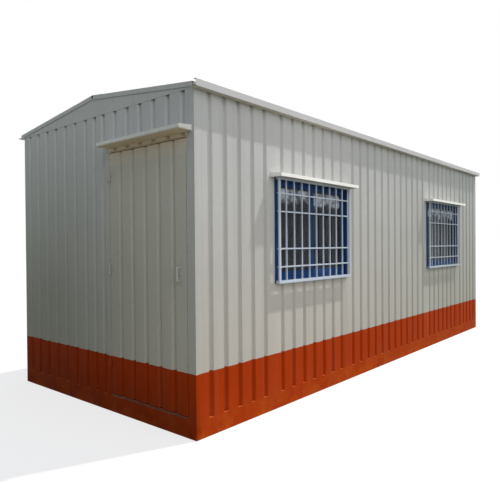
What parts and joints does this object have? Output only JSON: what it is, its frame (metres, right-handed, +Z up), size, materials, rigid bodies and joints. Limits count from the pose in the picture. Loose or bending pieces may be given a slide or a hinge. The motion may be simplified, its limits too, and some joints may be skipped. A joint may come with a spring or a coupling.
{
  "type": "portable cabin",
  "caption": "Portable steel site cabin with ribbed cladding, a low pitched ribbed roof, barred sliding windows under sunshades and an outward-opening end door.",
  "frame": {"origin": "middle of the base on the ground, under the middle floor joist", "axes": "+X along the long walls away from the door end, -Y out of the window wall, +Z up"},
  "size_m": [6.251, 2.604, 2.5924],
  "materials": {
    "base_paint": "satin red oxide paint",
    "wall_paint": "satin off-white paint with a red oxide band at the foot",
    "trim_paint": "satin off-white paint",
    "roof_sheet": "weathered pre-painted sheet",
    "guard_paint": "white gloss paint",
    "window_paint": "dark blue satin paint",
    "window_glass": "clear float glass",
    "wall_lining": "pale laminated board",
    "floor_board": "worn flooring board",
    "hidden_steel": "dull primer",
    "door_fittings": "painted over, worn to steel at the edges"
  },
  "bodies": {
    "cabin": {"base_side_rails": "base_paint", "base_end_rails": "base_paint", "base_joists": "hidden_steel", "floor_deck": "floor_board", "corner_posts": "wall_paint", "front_wall_lower": "wall_lining", "front_wall_upper": "wall_lining", "front_wall_piers": "wall_lining", "back_wall": "wall_lining", "door_end_wall": "wall_lining", "door_end_wall_over_door": "wall_lining", "far_end_wall": "wall_lining", "front_cladding": "wall_paint", "back_cladding": "wall_paint", "door_end_cladding": "wall_paint", "far_end_cladding": "wall_paint", "eave_rails": "hidden_steel", "end_rails": "hidden_steel", "ridge_beam": "hidden_steel", "ceiling_panel": "wall_lining", "gable_panels": "wall_paint", "roof_sheet_front": "roof_sheet", "roof_sheet_back": "roof_sheet", "ridge_cap": "roof_sheet", "eave_channels": "trim_paint", "verge_trims": "trim_paint", "left_window_frame": "window_paint", "left_window_sashes": "window_paint", "left_window_glass": "window_glass", "left_window_guard": "guard_paint", "left_window_sunshade": "guard_paint", "right_window_frame": "window_paint", "right_window_sashes": "window_paint", "right_window_glass": "window_glass", "right_window_guard": "guard_paint", "right_window_sunshade": "guard_paint", "door_jambs": "wall_paint", "door_head": "wall_paint", "door_threshold": "hidden_steel", "door_canopy": "trim_paint", "door_hinge_seats": "door_fittings"},
    "door": {"door_leaf": "wall_paint", "door_hinge_barrels": "door_fittings", "door_lock_plate": "door_fittings", "door_pull": "door_fittings"}
  },
  "joints": [
    {"name": "door_swing", "type": "hinge", "parent": "cabin", "child": "door", "pos_m": [-3.059, -0.231, 1.113], "axis": [0, 0, -1], "range_deg": [0, 115]}
  ]
}
